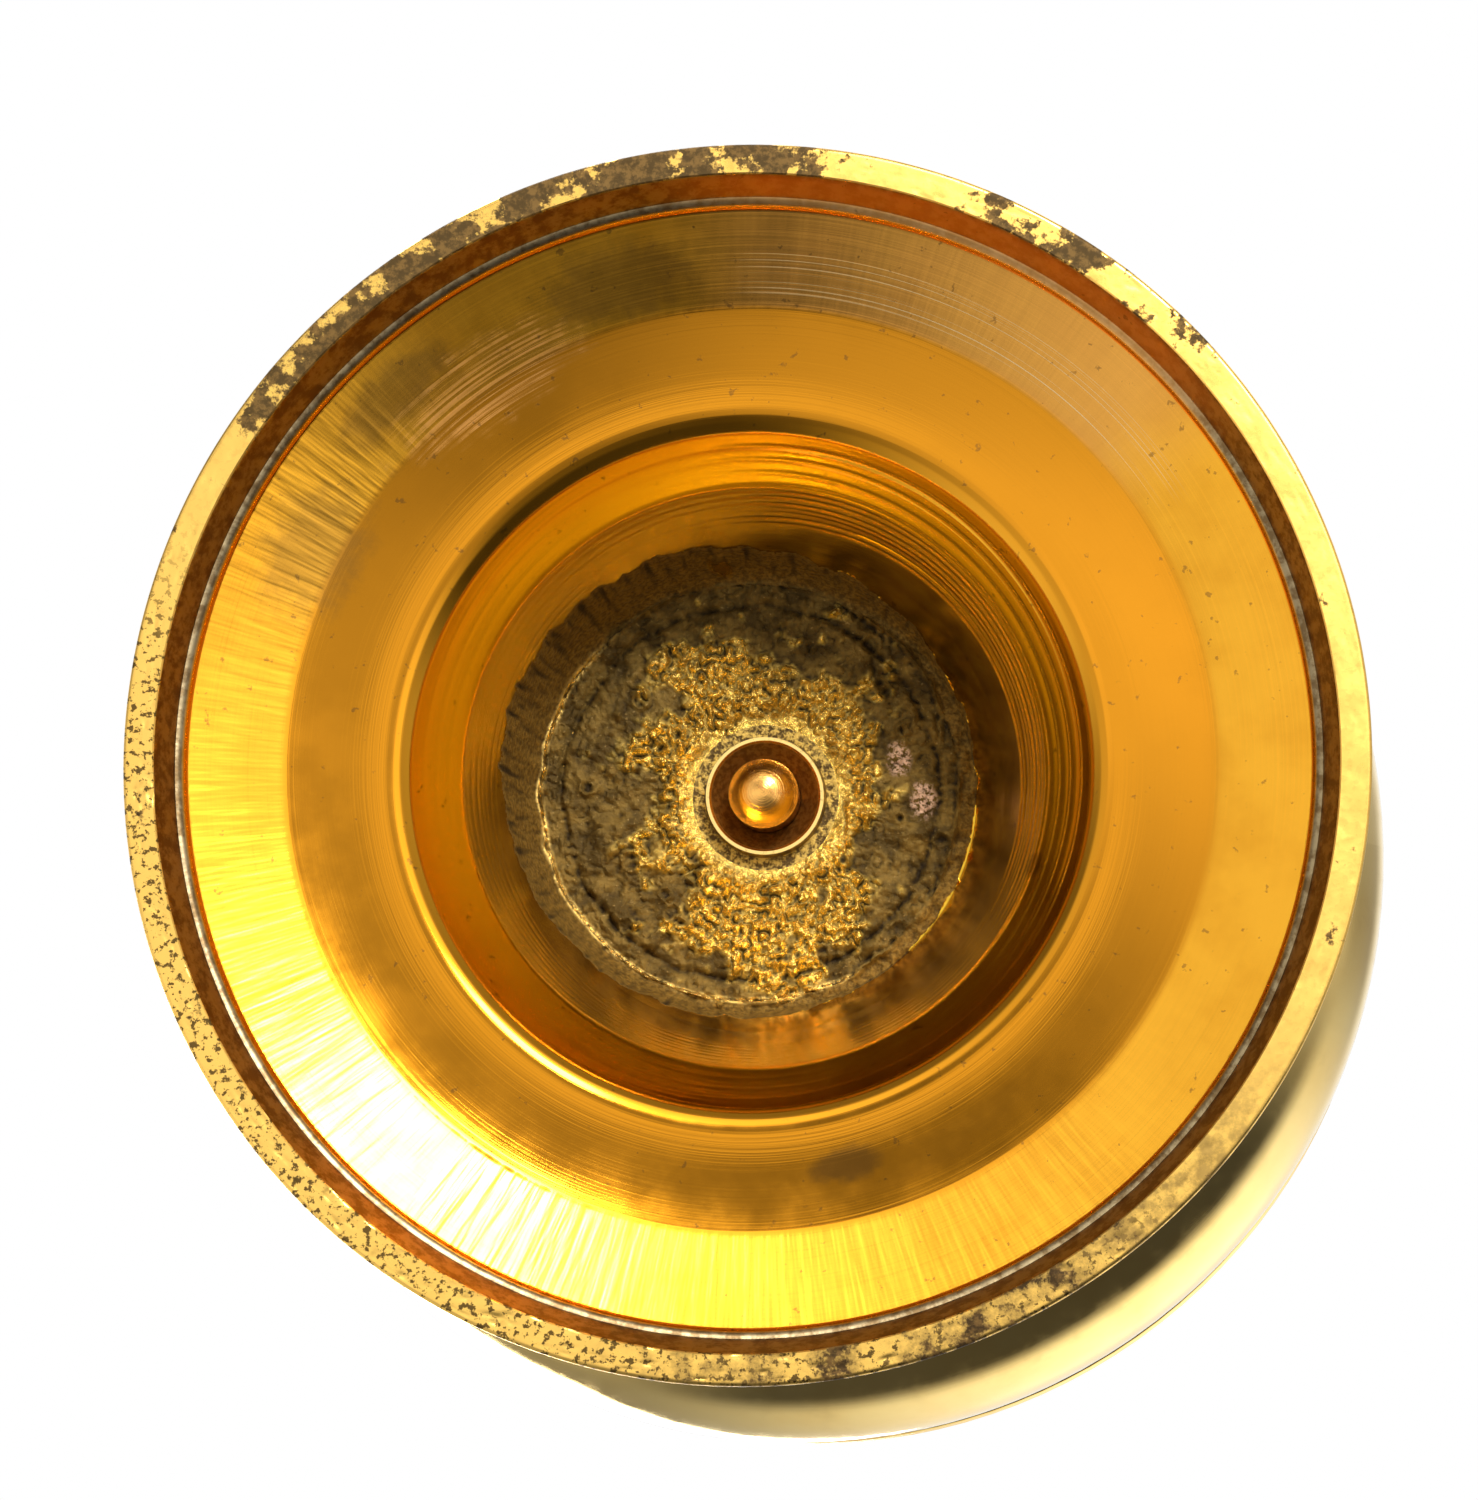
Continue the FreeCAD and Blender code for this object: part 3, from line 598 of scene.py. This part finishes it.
def standing_ring():
    """The flat ring that the vessel stands on: rubbed bright, pitted, with brown patina on one side."""
    g = Graph("standing_ring")
    fine = g.noise(g.place, 1.5, 4.0, 0.65)
    grime = g.noise(g.place, 0.30, 5.0, 0.68)
    pitted = g.around(PITTED_SIDE, 62, 24)
    pits = g.times(g.span(fine, 0.535, 0.585), g.span(pitted, 0.0, 1.0, 0.10, 1.0))
    dirty = g.plus(g.times(g.around(246, 27, 12), 0.22), g.times(g.around(300, 5, 6), 0.16),
                   g.times(g.around(314, 3, 5), 0.12), g.times(g.around(75, 14, 16), 0.09))
    patina = g.span(g.plus(grime, dirty), 0.62, 0.69)
    lumpy = g.span(g.noise(g.place, 1.1, 4.0, 0.7), 0.42, 0.62)
    crusted = g.mix(lumpy, (0.028, 0.014, 0.005), (0.13, 0.070, 0.02))
    colour = g.mix(g.times(pits, 0.9), BRASS, PATINA)
    colour = g.mix(g.times(g.around(66, 24, 18), g.span(grime, 0.40, 0.58), 0.75), colour, (0.30, 0.19, 0.06))
    colour = g.mix(g.times(patina, 0.95), colour, crusted)
    g.bump(fine, 0.03, 0.4)
    rough = g.plus(g.span(grime, 0.3, 0.7, 0.26, 0.42), g.times(patina, 0.2))
    g.shader.inputs["Specular IOR Level"].default_value = 0.15
    return g.finish(colour, rough, g.span(patina, 0.0, 1.0, 1.0, 0.25))


def cast_core():
    """As-cast surface of the core: grainy olive gold round the nut and dull brown towards the edge, with
    painted shade and dirt, near-black, in its crevices.
    """
    g = Graph("cast_core")
    crust, hollow_shade, depth = g.attribute("crust"), g.attribute("hollow_shade"), g.attribute("depth")
    grain = g.noise(g.place, 2.4, 4.0, 0.7)
    cloud = g.noise(g.place, 0.35, 4.0, 0.6)
    dull = g.mix(g.span(cloud, 0.38, 0.62), (0.090, 0.055, 0.014), (0.215, 0.132, 0.030))
    dull = g.mix(g.times(g.span(grain, 0.60, 0.72), 0.7), dull, (0.48, 0.32, 0.11))
    gold = g.mix(g.span(grain, 0.35, 0.65), (0.58, 0.39, 0.07), (0.95, 0.66, 0.17))
    colour = g.mix(crust, dull, gold)
    lumps = g.plus(g.patch(344, 12.7, 1.5, 1.1, 5.0), g.patch(1, 14.6, 1.8, 1.2, 9.0))
    colour = g.mix(g.times(lumps, g.span(grain, 0.45, 0.55), 0.9), colour, (0.80, 0.52, 0.36))
    wall = g.span(depth, 0.1, -0.5)
    colour = g.mix(wall, colour, g.mix(g.span(grain, 0.35, 0.65), (0.11, 0.060, 0.012), (0.27, 0.155, 0.03)))
    flash = g.times(g.span(depth, -0.35, 0.0), g.span(depth, 0.45, 0.1), g.around(140, 66, 26))
    colour = g.mix(g.times(flash, g.span(grain, 0.36, 0.5)), colour, (0.86, 0.60, 0.18))
    # Painted shade and dirt: near-black where the cast surface dips below its neighbours.
    colour = g.mix(g.times(hollow_shade, 0.92), colour, (0.022, 0.014, 0.008))
    g.bump(grain, 0.28, 0.8)
    g.shader.inputs["Specular IOR Level"].default_value = 0.12
    shine = g.math("MAXIMUM", g.times(crust, g.span(hollow_shade, 0.6, 0.1)), flash)
    rough = g.span(shine, 0.0, 1.0, 0.52, 0.25)
    return g.finish(colour, rough, g.span(shine, 0.0, 1.0, 0.35, 0.95))


def foot_exterior():
    return polished("foot_outside", BRASS, 0.16, 0.35)


def polished(name, colour, roughness, wear):
    """Turned or spun brass: a fine spin of the lathe, hand rubbed, with tarnish gathered in patches."""
    g = Graph(name)
    spin = g.noise(g.polar(0.6, 5.0, 5.0), 1.0, 4.0, 0.6)
    cloud = g.noise(g.place, 0.05, 5.0, 0.6)
    marks = g.noise(g.place, 0.35, 5.0, 0.65, 0.4)
    tarnish = g.times(g.span(cloud, 0.45, 0.75), g.span(marks, 0.45, 0.65), wear)
    shade = g.mix(g.span(cloud, 0.3, 0.7), colour, tuple(c * k for c, k in zip(colour, (0.95, 0.88, 0.75))))
    shade = g.mix(tarnish, shade, OLIVE)
    g.bump(g.plus(g.times(spin, 1.0), g.times(marks, 0.15)), 0.012, 0.35)
    rough = g.plus(roughness, g.times(g.span(marks, 0.35, 0.7), 0.10), g.times(tarnish, 0.25))
    return g.finish(shade, rough)


def dished_nut_look():
    """A bright rubbed lip round a dish that has gone brown."""
    g = Graph("dished_nut_look")
    fine = g.noise(g.place, 2.0, 4.0, 0.6)
    dirt = g.plus(g.span(g.z, 32.88, 33.15), g.times(g.span(fine, 0.58, 0.66), 0.4))
    brown = g.mix(g.span(fine, 0.4, 0.6), (0.22, 0.145, 0.045), (0.38, 0.26, 0.08))
    colour = g.mix(dirt, (0.92, 0.66, 0.24), brown)
    g.bump(fine, 0.05, 0.5)
    return g.finish(colour, g.span(dirt, 0.0, 1.0, 0.2, 0.42))


def grimy_washer_look():
    g = Graph("nut_washer_look")
    grain = g.noise(g.place, 2.0, 4.0, 0.7)
    colour = g.mix(g.span(grain, 0.42, 0.60), (0.09, 0.055, 0.02), (0.60, 0.41, 0.10))
    g.bump(grain, 0.3, 0.9)
    return g.finish(colour, 0.42, 0.9)


def rod_end_look():
    """Coppery gold with the rings of the last turning cut and a brown film on one side."""
    g = Graph("rod_end_look")
    rings = g.noise(g.polar(0.3, 6.0), 1.0, 3.0, 0.6)
    film = g.times(g.around(300, 60, 40), g.span(g.noise(g.place, 0.9, 4.0, 0.6), 0.40, 0.62), 0.7)
    colour = g.mix(film, (0.88, 0.47, 0.12), (0.42, 0.17, 0.05))
    g.bump(g.plus(rings, g.times(g.noise(g.place, 1.2, 3.0), 0.6)), 0.06, 0.6)
    return g.finish(colour, g.span(film, 0.0, 1.0, 0.20, 0.34))


def dress_frame():
    """Give every CAD node that stays in view a brass of its own making."""
    looks = {
        "spun_brass": polished("spun_brass_look", (0.94, 0.71, 0.28), 0.07, 0.18),
        "turned_brass": polished("turned_brass_look", (0.93, 0.68, 0.24), 0.12, 0.35),
        "cross_brass": polished("cross_brass_look", (0.93, 0.67, 0.23), 0.16, 0.4),
        "rod_brass": polished("rod_brass_look", (0.90, 0.52, 0.22), 0.2, 0.3),
        "hardware_brass": polished("hardware_brass_look", (0.90, 0.62, 0.22), 0.24, 0.5),
        "cast_brass": polished("cast_brass_look", BRASS, 0.2, 0.4),
    }
    own = {"dished_nut": dished_nut_look(), "nut_washer": grimy_washer_look(), "tie_rod": rod_end_look()}
    for row in frame["record"]["subparts"]:
        node = frame["nodes"][row["node"]]
        for slot in node.material_slots:
            slot.material = own.get(row["node"], looks[row["material_slot"]])


# ---------------------------------------------------------------------------------------------
# Stage: floor seen through from below, studio surroundings, lights
# ---------------------------------------------------------------------------------------------
FLOOR_HALF = 3.0
FLOOR_LEVEL = -0.0002


def add_floor():
    """A pale floor that is opaque from above and clear from below, and that nothing reflects."""
    mesh = bpy.data.meshes.new("floor")
    half, level = FLOOR_HALF, FLOOR_LEVEL
    mesh.from_pydata([(-half, -half, level), (half, -half, level), (half, half, level), (-half, half, level)],
                     [], [(0, 1, 2, 3)])
    floor = bpy.data.objects.new("floor", mesh)
    SCENE.collection.objects.link(floor)
    material = bpy.data.materials.new("floor_paper")
    material.use_nodes = True
    nodes, links = material.node_tree.nodes, material.node_tree.links
    shader = nodes["Principled BSDF"]
    shader.inputs["Base Color"].default_value = (0.82, 0.81, 0.79, 1)
    shader.inputs["Roughness"].default_value = 0.9
    shader.inputs["Specular IOR Level"].default_value = 0.1
    clear = nodes.new("ShaderNodeBsdfTransparent")
    geometry = nodes.new("ShaderNodeNewGeometry")
    choose = nodes.new("ShaderNodeMixShader")
    links.new(geometry.outputs["Backfacing"], choose.inputs[0])
    links.new(shader.outputs[0], choose.inputs[1])
    links.new(clear.outputs[0], choose.inputs[2])
    links.new(choose.outputs[0], nodes["Material Output"].inputs["Surface"])
    mesh.materials.append(material)
    floor.visible_shadow = False
    floor.visible_glossy = False
    floor.visible_diffuse = False


PEAK = 3.0
POLE_TILT = math.radians(8)
POLE_AZIMUTH = math.radians(240)
POLE = (math.sin(POLE_TILT) * math.cos(POLE_AZIMUTH), math.sin(POLE_TILT) * math.sin(POLE_AZIMUTH),
        -math.cos(POLE_TILT))


def add_world():
    """Plain soft studio: a broad window on one side, a dim side opposite, and soft fill elsewhere.

    Each zone lists (azimuth as a share of a turn, brightness) in a few broad steps. The zones lie round
    a pole below the foot, and facing is the cosine of the angle from it.
    """
    world = bpy.data.worlds.new("studio")
    SCENE.world = world
    world.use_nodes = True
    tree = Nodes(world.node_tree)
    tree.nodes.clear()

    def tint(level, warmth=(1.0, 1.0)):
        return tuple(level / PEAK * share for share in (1.0, *warmth))

    def zone(stops, warmth):
        node = tree.nodes.new("ShaderNodeValToRGB")
        node.color_ramp.interpolation = "EASE"
        elements = node.color_ramp.elements
        colours = [(place, (*tint(level, warmth), 1)) for place, level in stops]
        elements[0].position, elements[0].color = colours[0]
        elements[1].position, elements[1].color = colours[-1]
        for place, colour in colours[1:-1]:
            elements.new(place).color = colour
        tree.links.new(azimuth, node.inputs[0])
        return node.outputs[0]

    coordinates = tree.nodes.new("ShaderNodeTexCoord")
    parts = tree.nodes.new("ShaderNodeSeparateXYZ")
    tree.links.new(coordinates.outputs["Generated"], parts.inputs[0])
    x, y, z = parts.outputs
    turn = tree.math("DIVIDE", tree.math("ARCTAN2", y, x), 2 * math.pi)
    azimuth = tree.math("FRACT", tree.math("ADD", turn, 1.0))
    along_x = tree.math("MULTIPLY", x, POLE[0])
    along_y = tree.math("MULTIPLY", y, POLE[1])
    facing = tree.math("ADD", tree.math("MULTIPLY", z, POLE[2]), tree.math("ADD", along_x, along_y))
    low = zone([
        (0.00, 0.75), (0.16, 0.38), (0.36, 0.90), (0.50, 1.40), (0.66, 0.28), (0.84, 0.60), (1.00, 0.75)],
        (0.96, 0.90))
    middle = zone([
        (0.00, 1.70), (0.12, 0.20), (0.26, 0.10), (0.44, 0.90), (0.60, 1.00), (0.80, 2.60), (1.00, 1.70)],
        (0.98, 0.93))
    sides = zone([
        (0.00, 0.70), (0.09, 0.06), (0.26, 0.08), (0.42, 1.20), (0.58, 0.25), (0.84, 0.40), (1.00, 0.70)],
        (0.97, 0.92))
    above = zone([
        (0.00, 0.35), (0.13, 1.70), (0.32, 0.30), (0.48, 1.10), (0.66, 0.30), (0.84, 1.70), (1.00, 0.35)],
        (0.99, 0.97))
    room = tree.mix(tree.span(facing, 0.975, 0.940), tint(1.25, (0.96, 0.864)), low)
    room = tree.mix(tree.span(facing, 0.86, 0.80), room, middle)
    room = tree.mix(tree.span(facing, 0.66, 0.50), room, sides)
    room = tree.mix(tree.span(facing, -0.20, -0.50), room, above)
    room = tree.mix(tree.span(z, 0.75, 0.95), room, tint(1.0, (1.0, 0.98)))
    path = tree.nodes.new("ShaderNodeLightPath")
    background = tree.nodes.new("ShaderNodeBackground")
    background.inputs["Strength"].default_value = PEAK
    tree.links.new(tree.mix(path.outputs["Is Camera Ray"], room, tint(1.0)), background.inputs["Color"])
    output = tree.nodes.new("ShaderNodeOutputWorld")
    tree.links.new(background.outputs[0], output.inputs["Surface"])


LAMP_AIM_HEIGHT = 0.02


def add_light(name, azimuth, off_axis, distance, size, power, colour):
    """A soft box aimed at a point inside the foot; off_axis is counted from straight below."""
    data = bpy.data.lights.new(name, "AREA")
    data.shape = "RECTANGLE"
    data.size, data.size_y = size
    data.energy = power
    data.color = colour
    lamp = bpy.data.objects.new(name, data)
    SCENE.collection.objects.link(lamp)
    a, b = math.radians(azimuth), math.radians(off_axis)
    out = Vector((math.sin(b) * math.cos(a), math.sin(b) * math.sin(a), -math.cos(b)))
    lamp.location = out * distance + Vector((0, 0, LAMP_AIM_HEIGHT))
    lamp.rotation_mode = "QUATERNION"
    lamp.rotation_quaternion = out.to_track_quat("Z", "Y")
    lamp.visible_camera = False


def add_lights():
    add_light("window_box", azimuth=297, off_axis=41, distance=1.0, size=(0.30, 0.24), power=10.0,
              colour=(1.0, 0.98, 0.96))
    add_light("top_box", azimuth=140, off_axis=150, distance=1.2, size=(0.8, 0.8), power=18.0,
              colour=(1.0, 0.99, 0.97))
    add_light("side_box", azimuth=250, off_axis=120, distance=1.2, size=(0.5, 1.0), power=12.0,
              colour=(1.0, 0.98, 0.95))


SCENE.view_settings.view_transform = "Standard"
SCENE.view_settings.look = "None"
add_camera()
build_foot()
dress_frame()
add_floor()
add_world()
add_lights()
